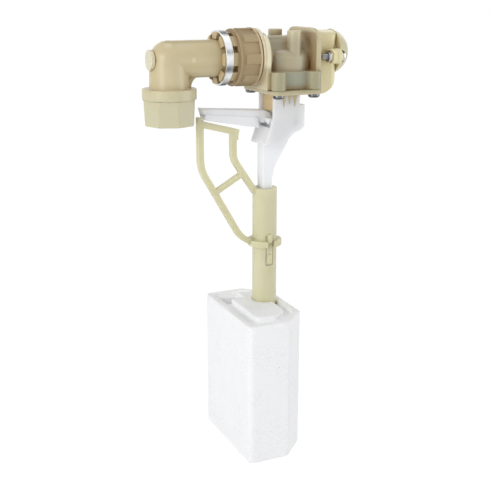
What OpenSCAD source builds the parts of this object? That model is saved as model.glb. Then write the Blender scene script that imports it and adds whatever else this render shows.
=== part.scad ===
// Pilot-operated float valve with an elbow inlet, a guide rod and a foam block float.
// Millimetres. The origin is the centre of the inlet mouth, +X runs along the level pipe, +Z is up.

/* [Inlet elbow] */
// Radius of the threaded socket at the thread's crests
socket_bore_r = 12.06; // [11.5:0.01:12.5]
// Depth of the threaded socket
socket_depth = 13.5; // [12:0.5:15]
// Distance from the axis to the socket's flats at the mouth
socket_flat = 15.9; // [15:0.1:16.5]
// How far the flats lean out between mouth and collar
socket_lean = 0.8; // [0.1:0.1:1.2]
// Height of the faceted part of the socket
socket_h = 17; // [15:0.5:20]
// Radius of the collar above the flats
collar_r = 18; // [17.6:0.1:20]
// Height of the collar
collar_h = 7; // [5:0.5:9]
// Outer radius of the upright leg
leg_r = 13.4; // [12.8:0.1:14]
// Outer radius of the level pipe
pipe_r = 12.2; // [11.6:0.1:12.4]
// Height of the level pipe's axis above the inlet mouth
pipe_z = 42.5; // [41:0.5:46]
// Radius of the water way through elbow and neck
water_r = 9; // [8:0.1:9.4]
// Radius of the round plug on the back of the elbow
plug_r = 6.7; // [5.5:0.1:7.5]
// How far the plug stands out past the leg
plug_proud = 1.6; // [1:0.1:3]
// Thickness of the gusset in the elbow's inner corner
gusset_t = 4; // [2:0.5:6]
// Reach of the gusset along the pipe
gusset_reach = 9; // [6:0.5:10]
// Thickness of the flat gasket in the socket
gasket_t = 2; // [1:0.5:3]
// Length of the strainer cup
strainer_l = 16; // [12:1:20]

/* [Union] */
// Distance from the inlet axis to the ends of the snap fingers
finger_x = 32.2; // [31:0.1:35]
// Length of the snap fingers
finger_l = 11.4; // [9:0.1:12]
// Wall of the snap fingers
finger_wall = 4.4; // [3.6:0.1:4.6]
// Number of snap fingers and of grip pads
finger_count = 8; // [6:1:10]
// Width of the slots between the fingers
finger_slot = 4.4; // [3:0.1:5.5]
// Thickness of the steel band
band_t = 1.3; // [0.8:0.1:1.6]
// Width of the steel band
band_w = 5; // [4:0.1:5.6]
// Length of the nut
nut_l = 15.5; // [14:0.5:18]
// Radius of the nut between its pads
nut_r = 18.3; // [17.8:0.1:19]
// Height of the grip pads
pad_h = 0.9; // [0.5:0.1:1.5]
// Width of the grip pads
pad_w = 6.6; // [4:0.1:8]
// Height of the nut's rims
rim_h = 1.2; // [0.6:0.1:1.6]
// Length of the nut's rims
rim_l = 1.7; // [1:0.1:2.5]
// Radius of the threaded neck on the valve body
neck_r = 15.2; // [14.8:0.1:15.6]
// Gap between the nut and the ring of the body
union_gap = 0.9; // [0.5:0.1:2]

/* [Valve body] */
// Radius of the ring behind the nut
ring_r = 19; // [17:0.1:20]
// Length of the ring behind the nut
ring_l = 3; // [2:0.1:4]
// Distance from the ring to the main seat's axis
seat_reach = 22.6; // [21.5:0.1:24]
// Half width of the arched wall
arch_half = 19.5; // [18.5:0.1:20.5]
// Thickness of the arched wall
arch_t = 3.5; // [2.5:0.1:4.5]
// Outer radius of the body's level pipe
body_pipe_r = 13.8; // [12:0.1:14.4]
// Radius of the dome over the main seat
dome_r = 19.4; // [19.2:0.1:20]
// Height of the dome above the clamp plane
dome_h = 26.5; // [24:0.5:29]
// Radius of the dome's shoulder
dome_shoulder = 6; // [3:0.5:8]
// Radius of the two posts
post_r = 4.8; // [3.5:0.1:5.5]
// Distance of the posts from the middle
post_y = 14.4; // [13:0.1:15]
// How far the posts stand to the right of the seat
post_shift = 1.6; // [0:0.1:3]
// Height of the posts above the clamp plane
post_h = 38.5; // [34:0.5:42]
// Distance from the level axis down to the clamp plane
clamp_drop = 21; // [20.5:0.5:24]
// Height of the block with the screw bosses
block_h = 12; // [11.5:0.5:13]
// Half depth of the block between the bosses
block_half = 21; // [20:0.1:22]
// Thickness of the end plate
plate_t = 3.6; // [3:0.1:4.5]
// Half width of the end plate
plate_half = 23; // [20:0.5:25]
// Height of the end plate above the clamp plane
plate_h = 40; // [36:0.5:42]
// Radius of the end plate's upper corners
plate_corner = 11; // [6:0.5:14]
// Spacing of the cover screws along the pipe
screw_dx = 26.6; // [25.6:0.1:28]
// Spacing of the cover screws across the pipe
screw_dy = 44; // [42:0.5:48]
// Radius of the screw bosses
boss_r = 4.9; // [4.4:0.1:5.4]
// Radius of the cover screws
screw_r = 2; // [1.5:0.1:2.4]
// Thickness of the base cover
cover_t = 3; // [2.6:0.1:4]

/* [Main valve] */
// Radius of the chamber round the main seat
chamber_r = 14.4; // [13.6:0.1:14.8]
// Height of the chamber above the clamp plane
chamber_h = 11; // [10:0.1:11.2]
// Outer radius of the main seat
seat_r = 8.8; // [8.2:0.1:9]
// Radius of the way up through the main seat
seat_bore_r = 6.4; // [5.5:0.1:6.6]
// Radius of the way out to the outlet
outlet_r = 7.2; // [6.6:0.1:7.4]
// Thickness of the membrane
membrane_t = 2; // [1.8:0.1:2.4]
// Width of the membrane's clamped edge
membrane_edge = 2.2; // [1.5:0.1:2.4]
// Thickness of the valve disc
disc_t = 2; // [1.5:0.1:3]
// Travel of the valve disc
disc_travel = 1.4; // [1:0.1:1.5]
// Radius of the spring, at the wire's centre
spring_r = 3.4; // [3:0.1:3.6]
// Radius of the spring's wire
spring_wire = 0.4; // [0.3:0.05:0.5]
// Turns of the spring
spring_turns = 4; // [3:1:5]

/* [Pilot] */
// Distance from the main seat's axis to the left face of the pilot housing
pilot_left = 9.6; // [9.4:0.1:11]
// Length of the pilot housing
pilot_l = 17.8; // [17:0.1:18.2]
// Half depth of the pilot housing
pilot_half = 9.7; // [8.5:0.1:10]
// Height of the pilot housing
pilot_h = 13.3; // [12.5:0.1:14]
// Distance from the main seat's axis to the pilot plunger
pilot_back = 6.2; // [5.9:0.1:6.6]
// Radius of the plunger
plunger_r = 2.3; // [1.8:0.1:2.4]
// Length of the plunger
plunger_l = 7.2; // [6.5:0.1:8]
// How far the plunger stands out below the housing
plunger_proud = 3.6; // [3:0.1:4.2]
// Thickness of the plunger's rubber pad
pad_t = 1; // [0.6:0.1:1.5]

/* [Outlet] */
// Thickness of the gasket behind the end plate
outlet_gasket_t = 1; // [0.6:0.1:1.5]
// Distance from the gasket to the axis of the upright chamber
tower_reach = 8.5; // [8:0.1:9.5]
// Radius of the upright outlet chamber
tower_r = 9.6; // [9.2:0.1:10.2]
// Height of the chamber's top above the level axis
tower_up = 16.8; // [15:0.1:18]
// Arch of the chamber's top
tower_crown = 2.9; // [2:0.1:4]
// Depth of the chamber's round end below the level axis
tower_down = 26; // [20:0.5:28]
// Half depth of the upright chamber
tower_half = 11.8; // [11:0.1:12.2]
// Radius of the chamber's upright edges
tower_edge = 5; // [2:0.5:6]
// Radius of the rounded lower corner on the chamber's right side
tower_heel = 14; // [11:0.5:14]
// Wall of the outlet chamber
tower_wall = 2.6; // [2:0.1:3]
// Radius of the domed outlet cap at its base
cap_r = 15.5; // [15.2:0.1:15.6]
// Radius of the cap's dome
cap_curve = 15.9; // [15.7:0.1:16.3]
// Length of the outlet cap
cap_l = 9.5; // [8:0.1:10]
// Height of the cap's axis above the level axis
cap_rise = 2; // [0:0.1:2]
// Radius of the outlet's mouth
mouth_r = 6.2; // [5.8:0.1:6.3]
// Distance of the lug bolts from the level axis
lug_y = 19; // [18:0.1:21]
// Radius of the lugs
lug_r = 5.2; // [4.4:0.1:5.6]
// Thickness of each lug
lug_t = 3.3; // [2.5:0.1:4]
// Radius of the lug bolts
bolt_r = 2; // [1.5:0.1:2.3]
// Length of the lug bolts under the head
bolt_l = 14.2; // [12:0.2:14.6]
// Width across the flats of bolt heads and nuts
hex_flat = 7; // [6:0.1:8]
// Height of the nuts
hex_nut_h = 3.2; // [2.4:0.1:3.6]
// Height of the bolt heads
hex_head_h = 2.8; // [2:0.1:3]

/* [Guide bracket] */
// Distance from the main seat's axis back to the rod's axis
rod_back = 12.6; // [12:0.1:13]
// Thickness of the bracket's walls
wall_t = 2.3; // [1.8:0.1:3]
// Height of the wall's foot below the clamp plane
bracket_drop = 38.5; // [37:0.5:42]
// Distance from the rod's axis to the bracket's left face
bracket_left = 5.5; // [4.6:0.1:6.5]
// How far the bracket's left side leans in at its top
bracket_lean = 4; // [2:0.1:4.4]
// Distance from the rod's axis to the bracket's right end
bracket_right = 24.6; // [24:0.1:27]
// Width of the rod along the pipe
rod_w = 7; // [6:0.1:7.4]
// Depth of the rod across the pipe
rod_d = 10; // [9:0.1:10.2]
// Depth of the rod's lower end below the clamp plane
rod_drop = 137.5; // [132:0.5:145]

/* [Lever] */
// Distance from the rod's axis to the lever's pin
pin_x = 18; // [17.4:0.1:19]
// Depth of the pin below the clamp plane
pin_drop = 22.5; // [22:0.1:23]
// Radius of the pin
pin_r = 1.5; // [1:0.1:1.8]
// Distance from the pin to the lever's tip
lever_l = 66.8; // [64:0.1:68]
// Half width of the lever's beam
lever_half = 4.2; // [3.4:0.1:5]
// Height of the beam at the tip
lever_tip_h = 7.8; // [6.5:0.1:9]
// Rise of the tip above the pin, at the beam's top
lever_rise = 10.9; // [10:0.1:12]

/* [Carriage] */
// Outer radius of the sliding tube
tube_r = 8.65; // [8.2:0.05:9.2]
// Bore radius of the sliding tube
tube_bore = 6.5; // [6.3:0.05:6.8]
// Depth of the tube's top below the clamp plane
tube_drop = 69.8; // [67:0.1:73]
// Depth of the keyed mouth at the tube's top
mouth_h = 5; // [4:0.5:8]
// Width of the frame's rails
rail_w = 4.3; // [3.8:0.1:6]
// Thickness of the frame
frame_t = 4.4; // [3.6:0.1:6]
// Distance from the rod's axis to the outer rail
outer_rail = 48.8; // [47:0.1:49.4]
// Distance from the rod's axis to the inner rail
inner_rail = 24.5; // [22:0.1:27]
// Place of the brace along the inner rail's slope, from its top
brace_high_share = 0.33; // [0.2:0.01:0.5]
// Place of the brace along the outer rail's slope, from its top
brace_low_share = 0.3; // [0.2:0.01:0.5]
// Radius of the collar on the tube
tube_collar_r = 12.2; // [11:0.1:14]
// Depth of the collar's middle below the tube's top
tube_collar_drop = 39.7; // [37:0.1:42]
// Height of the collar
tube_collar_h = 4.4; // [3:0.1:6]
// Travel of the float, down from the stop at rest
float_travel = 8; // [5:0.5:8]

/* [Float] */
// Length of the float along the pipe
float_l = 47; // [44:0.5:54]
// Depth of the float across the pipe
float_d = 80; // [74:0.5:90]
// Height of the float
float_h = 102.5; // [95:0.5:110]
// Depth of the float's rim below the tube's top
float_drop = 84.7; // [80:0.1:90]
// Distance from the rod's axis to the float's left face
float_left = 33.5; // [31:0.1:36]
// Distance from the rod's axis to the float's front face
float_front = 48; // [44:0.1:52]
// Chamfer of the two right-hand edges
float_chamfer = 17; // [12:0.5:20]
// Radius of the two left-hand edges
float_edge = 4; // [2:0.5:8]
// Width of the rim on top
float_rim = 5; // [3:0.5:7]
// Width of the groove inside the rim
float_groove = 6; // [4:0.5:8]
// Depth of that groove
groove_depth = 2.4; // [1:0.2:4]
// How far the middle stands above the rim
island_rise = 1.6; // [0.4:0.2:3]
// Depth below the rim at which the tube steps in
stem_step = 8; // [6:0.5:14]
// Radius of the cap under the float
retainer_r = 10.5; // [9:0.5:11]
// Step of the tube inside the float
stem_shoulder = 0.8; // [0.5:0.1:1]

/* [Fits] */
// Gap round pins and shafts that turn
run_gap = 0.05; // [0.02:0.01:0.08]
// Gap between pieces that slide or move past each other
slide_gap = 0.3; // [0.2:0.05:0.4]
// Gap round pieces that sit still in a seat
seat_gap = 0.05; // [0.02:0.01:0.1]

/* [Hidden] */
$fn = 64;
eps = 0.5;

beige = [0.80, 0.75, 0.58];
pale = [0.85, 0.83, 0.68];
tan_brown = [0.68, 0.58, 0.40];
cream = [0.80, 0.78, 0.60];
white = [0.92, 0.92, 0.92];
foam = [0.97, 0.97, 0.97];
steel = [0.78, 0.78, 0.80];
brass = [0.78, 0.64, 0.34];
rubber = [0.12, 0.12, 0.12];

// Stations along the level pipe
nut_x = finger_x + finger_l;
nut_end = nut_x + nut_l;
ring_x = nut_end + union_gap;
seat_x = ring_x + seat_reach;
plate_x = seat_x + screw_dx / 2 + boss_r - plate_t - 0.2;
plate_end = plate_x + plate_t;
tower_start = plate_end + outlet_gasket_t;
tower_x = tower_start + tower_reach;
lug_x = tower_x + 0.1;
ear_x = lug_x + lug_t + 0.1;
cap_x = tower_x + tower_r + 0.15;
cap_z = pipe_z + cap_rise;
rod_x = seat_x - rod_back;

// Union and spigot
gasket_r = socket_bore_r + 0.3;
bend_r = pipe_r + 0.15;
finger_bore = pipe_r + slide_gap;
finger_r = finger_bore + finger_wall;
nut_bore = neck_r + slide_gap;
shoulder_x = nut_x + 1.2;
flange_l = 3;
flange_end = shoulder_x + slide_gap + flange_l;
neck_x = flange_end + slide_gap;
spigot_r = pipe_r - 0.3;
spigot_end = nut_end - 1.5;
oring_wire = 0.85;
oring_x = (neck_x + spigot_end) / 2;
oring_groove = spigot_r + run_gap - 2 * oring_wire - seat_gap;
strainer_r = water_r - 0.7;
strainer_lip = 1;

// Levels
clamp_z = pipe_z - clamp_drop;
cover_z = clamp_z - cover_t;
pilot_z = cover_z - pilot_h;
seat_z = clamp_z + membrane_t + disc_t + seat_gap;
membrane_r = chamber_r + membrane_edge;
hub_r = 2.6;
hub_l = 1.2;
spring_pocket_r = spring_r + spring_wire + 0.5;
spring_pocket_h = 6.5;
pilot_x = seat_x - pilot_back;
plunger_top = pilot_z - plunger_proud + plunger_l;
pilot_way_r = 1.2;
pilot_seat_r = 2.1;
pilot_seat_h = 3;

// Bracket and lever
wall_in = pilot_half + 0.1;
wall_out = wall_in + wall_t;
pivot_x = rod_x + pin_x;
pivot_z = clamp_z - pin_drop;
bracket_foot = clamp_z - bracket_drop;
rod_end = clamp_z - rod_drop;
lever_tip = pivot_x - lever_l;
lever_top = pivot_z + lever_rise;
lever_low = lever_top - lever_tip_h;
lever_boss = pin_r + 2.1;
web_drop = 24;
floor_drop = 6.6;
floor_reach = 11;
plunger_foot = pilot_z - plunger_proud;

// Height over the clamp plane at which the posts start inside the dome
post_start = 15;

// Carriage and float
tube_top = clamp_z - tube_drop;
collar_z = tube_top - tube_collar_drop;
tooth_drop = 12;
tooth_z = collar_z - tooth_drop;
tooth_h = 3;
float_top = tube_top - float_drop;
float_low = float_top - float_h;
stem_r = tube_r - stem_shoulder;
stem_step_z = float_top - stem_step;
retainer_t = 3;
retainer_recess = 7.5;
retainer_plug = 12;
stem_end = float_low + retainer_recess;
rail_turn = 30;
rail_bend = 24;
rail_sweep = 22;
rail_start = 180;
rail_stop = 260;
rail_x = rod_x - outer_rail;
inner_x = rod_x - inner_rail;

// Places children along the level pipe, with their height along +X
module along_pipe(x) {
    translate([x, 0, pipe_z]) rotate([0, 90, 0]) children();
}

// Stands an outline drawn in X and Z upright, t thick and centred on the middle plane
module upright(t) {
    rotate([90, 0, 0]) linear_extrude(height = t, center = true) children();
}

// Ring of rectangular section
module ring(r_out, r_in, h) {
    difference() {
        cylinder(r = r_out, h = h);
        translate([0, 0, -eps]) cylinder(r = r_in, h = h + 2 * eps);
    }
}

// Torus of round section
module oring(r, wire) {
    rotate_extrude() translate([r, 0]) circle(r = wire, $fn = 32);
}

// Plate with four round corners, centred in X and Y
module corner_plate(l, d, r, h) {
    translate([-l / 2, -d / 2 + r, 0]) cube([l, d - 2 * r, h]);
    translate([-l / 2 + r, -d / 2, 0]) cube([l - 2 * r, d, h]);
    for (x = [-1, 1], y = [-1, 1])
        translate([x * (l / 2 - r), y * (d / 2 - r), 0]) cylinder(r = r, h = h);
}

// Children at the four cover screws
module at_screws() {
    for (x = [-1, 1], y = [-1, 1])
        translate([seat_x + x * screw_dx / 2, y * screw_dy / 2, 0]) children();
}

// Children at the two lug bolts, with their height along +X
module at_lugs(x) {
    for (y = [-1, 1])
        translate([x, y * lug_y, pipe_z]) rotate([0, 90, 0]) children();
}

module hexagon(flat, h) {
    cylinder(r = flat / 2 / cos(30), h = h, $fn = 6);
}

function on_circle(c, r, a) = c + r * [cos(a), sin(a)];
function arc_points(c, r, a, b, n) = [for (i = [0:n]) on_circle(c, r, a + (b - a) * i / n)];
function unit(v) = v / norm(v);
function path_dir(p, i) = unit(p[min(i + 1, len(p) - 1)] - p[max(i - 1, 0)]);
function side(p, i, w) = p[i] + w / 2 * [-path_dir(p, i)[1], path_dir(p, i)[0]];

// Ribbon of even width along a path of points
module ribbon(p, w) {
    n = len(p) - 1;
    polygon(concat([for (i = [0:n]) side(p, i, w)], [for (i = [n:-1:0]) side(p, i, -w)]));
}

module inlet_elbow() {
    leg_low = socket_h + collar_h / 2;
    color(beige) difference() {
        union() {
            intersection() {
                cylinder(r1 = socket_flat / cos(22.5), r2 = (socket_flat + socket_lean) / cos(22.5),
                    h = socket_h + 0.01, $fn = 8);
                cylinder(r = collar_r - 0.6, h = socket_h + 0.01);
            }
            translate([0, 0, socket_h]) cylinder(r = collar_r, h = collar_h);
            elbow_leg(leg_low);
            along_pipe(0) cylinder(r = pipe_r, h = flange_end - 1);
            along_pipe(flange_end - flange_l) cylinder(r = neck_r, h = flange_l);
            along_pipe(flange_end - 1) cylinder(r = spigot_r, h = spigot_end - flange_end + 1);
            elbow_gusset();
        }
        translate([0, 0, -eps]) cylinder(r = socket_bore_r, h = socket_depth + eps);
        translate([0, 0, socket_depth]) cylinder(r = gasket_r, h = gasket_t);
        cylinder(r = water_r, h = pipe_z);
        along_pipe(-water_r / 2) cylinder(r = water_r - 0.1, h = spigot_end + water_r);
        along_pipe(spigot_end - strainer_lip) cylinder(r = water_r + 0.8, h = strainer_lip + eps);
        along_pipe(oring_x - oring_wire - 0.1) ring(pipe_r, oring_groove, 2 * oring_wire + 0.2);
        along_pipe(-bend_r - plug_proud) cylinder(r = plug_r + seat_gap, h = plug_proud + 1.2);
        along_pipe(-bend_r - plug_proud) cylinder(r = plug_r - 2.2, h = bend_r);
    }
}

// Upright leg with its draft, closed by a half ball at the level pipe's height
module elbow_leg(low) {
    rise = pipe_z - low;
    translate([0, 0, low]) rotate_extrude() {
        polygon([[0, 0], [leg_r, 0], [bend_r, rise], [0, rise]]);
        translate([0, rise]) intersection() {
            circle(r = bend_r);
            translate([0, -1]) square([bend_r, bend_r + 1]);
        }
    }
}

// Web between leg and level pipe, with a hollow edge
module elbow_gusset() {
    foot = socket_h + collar_h - 0.5;
    roof = pipe_z - pipe_r + 1.5;
    upright(gusset_t) difference() {
        translate([leg_r - 2, foot]) square([gusset_reach + 2, roof - foot]);
        translate([leg_r + gusset_reach + 0.8, foot]) circle(r = gusset_reach - 0.6);
    }
}

module elbow_plug() {
    seat = -bend_r + 1.2;
    color(pale) union() {
        along_pipe(-bend_r - plug_proud) cylinder(r = plug_r, h = seat + bend_r + plug_proud);
        along_pipe(seat - 0.5) cylinder(r = plug_r - 2.2 - seat_gap, h = bend_r - water_r - 0.4);
    }
}

module socket_gasket() {
    color(rubber) translate([0, 0, socket_depth]) ring(gasket_r - seat_gap, water_r + 0.4, gasket_t);
}

module inlet_strainer() {
    lip_r = water_r + 0.8 - seat_gap;
    cup_x = spigot_end - strainer_l;
    color(white) difference() {
        union() {
            along_pipe(spigot_end - strainer_lip) cylinder(r = lip_r, h = strainer_lip);
            along_pipe(cup_x) cylinder(r = strainer_r, h = strainer_l - 0.2);
        }
        along_pipe(cup_x + 1) cylinder(r = strainer_r - 0.9, h = strainer_l);
        for (a = [0:60:150], x = [2.5:3:strainer_l - 5])
            translate([cup_x + x, 0, pipe_z]) rotate([a, 0, 0])
                cube([1.2, 8, 3 * strainer_r], center = true);
    }
}

module spigot_oring() {
    color(rubber) along_pipe(oring_x) oring(spigot_r + run_gap - oring_wire, oring_wire);
}

module union_nut() {
    color(tan_brown) difference() {
        union() {
            along_pipe(finger_x) cylinder(r = finger_r, h = finger_l + 1);
            along_pipe(nut_x) cylinder(r = nut_r, h = nut_l);
            along_pipe(nut_x) cylinder(r = nut_r + rim_h * 0.6, h = rim_l);
            along_pipe(nut_end - rim_l) cylinder(r = nut_r + rim_h, h = rim_l);
            intersection() {
                along_pipe(nut_x) cylinder(r = nut_r + pad_h, h = nut_l);
                for (i = [0:finger_count - 1])
                    translate([nut_x + nut_l / 4, 0, pipe_z]) rotate([i * 360 / finger_count, 0, 0])
                        translate([0, -pad_w / 2, 0]) cube([nut_l * 3 / 4, pad_w, 2 * nut_r]);
            }
        }
        along_pipe(finger_x - eps) cylinder(r = finger_bore, h = shoulder_x - finger_x + 2 * eps);
        along_pipe(shoulder_x) cylinder(r = nut_bore, h = nut_end - shoulder_x + eps);
        for (i = [0:finger_count - 1])
            translate([finger_x - eps, 0, pipe_z]) rotate([(i + 0.5) * 360 / finger_count, 0, 0])
                translate([0, -finger_slot / 2, finger_bore - 2])
                    cube([finger_l - 0.7 + eps, finger_slot, 3 * finger_wall]);
    }
}

module clamp_band() {
    color(steel) along_pipe(finger_x + 1.3) ring(finger_r + band_t, finger_r + seat_gap, band_w);
}

module dome() {
    translate([seat_x, 0, clamp_z]) rotate_extrude() {
        square([dome_r, dome_h - dome_shoulder]);
        square([dome_r - dome_shoulder, dome_h]);
        translate([dome_r - dome_shoulder, dome_h - dome_shoulder]) circle(r = dome_shoulder);
    }
}

// Wall with a round top that carries the neck
module arched_wall() {
    arch_x = ring_x + ring_l - 1.4;
    arch_h = clamp_drop + body_pipe_r + 0.8;
    translate([arch_x, -arch_half, clamp_z]) cube([arch_t, 2 * arch_half, pipe_z - clamp_z]);
    intersection() {
        along_pipe(arch_x) cylinder(r = arch_half, h = arch_t);
        translate([arch_x, -arch_half, clamp_z]) cube([arch_t, 2 * arch_half, arch_h]);
    }
}

// Upright plate at the outlet end, with two round upper corners
module end_plate() {
    rise = plate_h - plate_corner;
    translate([plate_x, -plate_half, clamp_z]) cube([plate_t, 2 * plate_half, rise]);
    translate([plate_x, plate_corner - plate_half, clamp_z])
        cube([plate_t, 2 * (plate_half - plate_corner), plate_h]);
    for (y = [-1, 1])
        translate([plate_x, y * (plate_half - plate_corner), clamp_z + rise]) rotate([0, 90, 0])
            cylinder(r = plate_corner, h = plate_t);
}

module valve_body() {
    block_l = screw_dx + 2 * boss_r;
    color(beige) difference() {
        union() {
            along_pipe(neck_x) cylinder(r = neck_r, h = ring_x - neck_x + 1);
            along_pipe(ring_x) cylinder(r = ring_r, h = ring_l);
            along_pipe(ring_x + 1) cylinder(r = body_pipe_r + 2.2, h = ring_l + arch_t);
            along_pipe(ring_x + 1) cylinder(r = body_pipe_r, h = plate_x - ring_x);
            arched_wall();
            end_plate();
            intersection() {
                dome();
                translate([seat_x - 2 * dome_r, -2 * dome_r, clamp_z])
                    cube([plate_x + 1 - seat_x + 2 * dome_r, 4 * dome_r, 2 * dome_h]);
            }
            for (y = [-1, 1])
                translate([seat_x + post_shift, y * post_y, clamp_z + post_start])
                    cylinder(r = post_r, h = post_h - post_start);
            translate([seat_x - block_l / 2 + 1, -block_half, clamp_z])
                cube([block_l - 2, 2 * block_half, block_h]);
            at_screws() translate([0, 0, clamp_z]) cylinder(r = boss_r, h = block_h);
        }
        along_pipe(neck_x - eps) cylinder(r = pipe_r - 0.25, h = spigot_end - neck_x + eps + slide_gap);
        along_pipe(neck_x) cylinder(r = water_r, h = seat_x - neck_x - seat_bore_r - 2.4);
        translate([seat_x - chamber_r + 1.2, -water_r / 2, clamp_z + chamber_h - 2])
            cube([chamber_r - seat_r - 1.4, water_r, clamp_drop - chamber_h + 2]);
        translate([seat_x, 0, clamp_z - eps]) cylinder(r = membrane_r, h = membrane_t + eps);
        difference() {
            translate([seat_x, 0, clamp_z + eps]) cylinder(r = chamber_r, h = chamber_h - eps);
            translate([seat_x, 0, seat_z]) cylinder(r = seat_r, h = chamber_h);
        }
        translate([seat_x, 0, clamp_z]) cylinder(r = seat_bore_r, h = clamp_drop);
        along_pipe(seat_x) cylinder(r = outlet_r, h = plate_end - seat_x + eps);
        at_screws() translate([0, 0, clamp_z - eps]) cylinder(r = screw_r + seat_gap, h = block_h - 2 + eps);
    }
}

module base_cover() {
    color(beige) difference() {
        translate([seat_x, 0, cover_z])
            corner_plate(screw_dx + 2 * boss_r, screw_dy + 2 * boss_r, boss_r, cover_t);
        translate([seat_x, 0, clamp_z - disc_travel]) cylinder(r = chamber_r - 1, h = disc_travel + eps);
        translate([seat_x, 0, cover_z - eps]) cylinder(r = spring_pocket_r, h = cover_t + eps);
        translate([pilot_x, 0, cover_z - eps]) cylinder(r = pilot_way_r, h = cover_t + eps);
        at_screws() translate([0, 0, cover_z - eps]) cylinder(r = screw_r + 0.2, h = cover_t + 2 * eps);
    }
}

// Four screws with round heads and cross slots
module cover_screws() {
    head_r = 2 * screw_r;
    head_h = 1.3 * screw_r;
    color(steel) at_screws() difference() {
        union() {
            translate([0, 0, cover_z - head_h]) cylinder(r1 = head_r - 0.9, r2 = head_r, h = head_h / 2);
            translate([0, 0, cover_z - head_h / 2]) cylinder(r = head_r, h = head_h / 2);
            translate([0, 0, cover_z - 0.5]) cylinder(r = screw_r, h = cover_t + block_h - 3);
        }
        for (a = [0, 90])
            translate([0, 0, cover_z - head_h]) rotate(a) cube([head_r * 1.1, 0.8, head_h], center = true);
    }
}

module diaphragm() {
    color(rubber) translate([seat_x, 0, clamp_z])
        ring(membrane_r - seat_gap, hub_r + seat_gap, membrane_t);
}

module valve_disc() {
    color(white) union() {
        translate([seat_x, 0, clamp_z + membrane_t]) cylinder(r = seat_r + 0.8, h = disc_t);
        translate([seat_x, 0, clamp_z - hub_l]) cylinder(r = hub_r, h = membrane_t + hub_l + 0.5);
    }
}

// Points of the spring's centre line, from the pocket's floor up to the disc's hub
spring_low = cover_z - spring_pocket_h + spring_wire + seat_gap;
spring_high = clamp_z - seat_gap - spring_wire;
spring_steps = 8 * spring_turns;
spring_rise = (spring_high - spring_low) / spring_turns;
spring_line = [for (i = [0:spring_steps])
    [spring_r * cos(45 * i), spring_r * sin(45 * i), spring_low + spring_rise * i / 8]];
echo(spring_gap = spring_rise - 2 * spring_wire);

module disc_spring() {
    ring_pts = [for (i = [0:spring_steps], k = [0:5])
        spring_line[i] + spring_wire * [cos(60 * k) * cos(45 * i), cos(60 * k) * sin(45 * i), sin(60 * k)]];
    sides = [for (i = [0:spring_steps - 1], k = [0:5], t = [0, 1]) t == 0
        ? [6 * i + k, 6 * i + (k + 1) % 6, 6 * (i + 1) + k]
        : [6 * i + (k + 1) % 6, 6 * (i + 1) + (k + 1) % 6, 6 * (i + 1) + k]];
    ends = [for (k = [1:4], t = [0, 1]) t == 0 ? [0, k + 1, k]
        : [6 * spring_steps, 6 * spring_steps + k, 6 * spring_steps + k + 1]];
    color(steel) translate([seat_x, 0, 0]) polyhedron(points = ring_pts, faces = concat(sides, ends));
}

module pilot_housing() {
    left = seat_x - pilot_left;
    color(tan_brown) difference() {
        union() {
            translate([left, -pilot_half, pilot_z]) cube([pilot_l, 2 * pilot_half, pilot_h]);
            for (y = [-1, 1])
                translate([0, y * (wall_out - (wall_t + 1) / 2), 0]) upright(wall_t + 1)
                    wall_wedges(1.55, pilot_z + pilot_h - eps, 3.7);
        }
        translate([seat_x, 0, cover_z - spring_pocket_h])
            cylinder(r = spring_pocket_r, h = spring_pocket_h + eps);
        translate([pilot_x, 0, plunger_top]) cylinder(r = pilot_way_r, h = cover_z - plunger_top + eps);
        translate([pilot_x, 0, plunger_top + seat_gap])
            cylinder(r = pilot_seat_r + seat_gap, h = pilot_seat_h);
        translate([pilot_x, -pilot_half - eps, plunger_top - 1]) rotate([-90, 0, 0])
            cylinder(r = 1, h = pilot_half);
        translate([pilot_x, 0, pilot_z - eps])
            cylinder(r = plunger_r + run_gap, h = plunger_top - pilot_z + eps + seat_gap);
        for (y = [-1, 1])
            translate([left - eps, y * pilot_half - 0.7, pilot_z + 1.6]) cube([pilot_l + 2 * eps, 1.4, 1.8]);
    }
}

module pilot_seat() {
    color(brass) translate([pilot_x, 0, plunger_top + seat_gap])
        ring(pilot_seat_r, 0.7, pilot_seat_h - seat_gap);
}

module pilot_plunger() {
    color(white) translate([pilot_x, 0, plunger_foot]) cylinder(r = plunger_r, h = plunger_l - pad_t);
}

module plunger_seal() {
    color(rubber) translate([pilot_x, 0, plunger_top - pad_t]) cylinder(r = plunger_r - 0.2, h = pad_t);
}

// Outline of the bracket's side walls
module wall_outline() {
    left = rod_x - bracket_left;
    right = rod_x + bracket_right;
    strip_l = seat_x - pilot_left - 2.4;
    strip_r = seat_x - pilot_left + pilot_l;
    step_z = pilot_z + 4.8;
    polygon([[left, bracket_foot], [left + bracket_lean, pivot_z - 4], [strip_l, pilot_z - 2.6],
        [strip_l, cover_z - seat_gap], [strip_r, cover_z - seat_gap], [strip_r, step_z], [right, step_z],
        [right, pivot_z - 4], [right - 2, pivot_z - 6], [pivot_x - 2, pivot_z - 8.6],
        [pivot_x - 9, bracket_foot]]);
}

// Three narrow wedges along the top of a wall: its notches, or the housing's ribs that sit in them
module wall_wedges(half, top, rise) {
    first = pilot_x + 2.1;
    for (i = [0:2])
        polygon([[first + 4.2 * i - half, top], [first + 4.2 * i + half, top],
            [first + 4.2 * i, pilot_z + rise + (i == 1 ? 2.4 : 0)]]);
}

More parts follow.
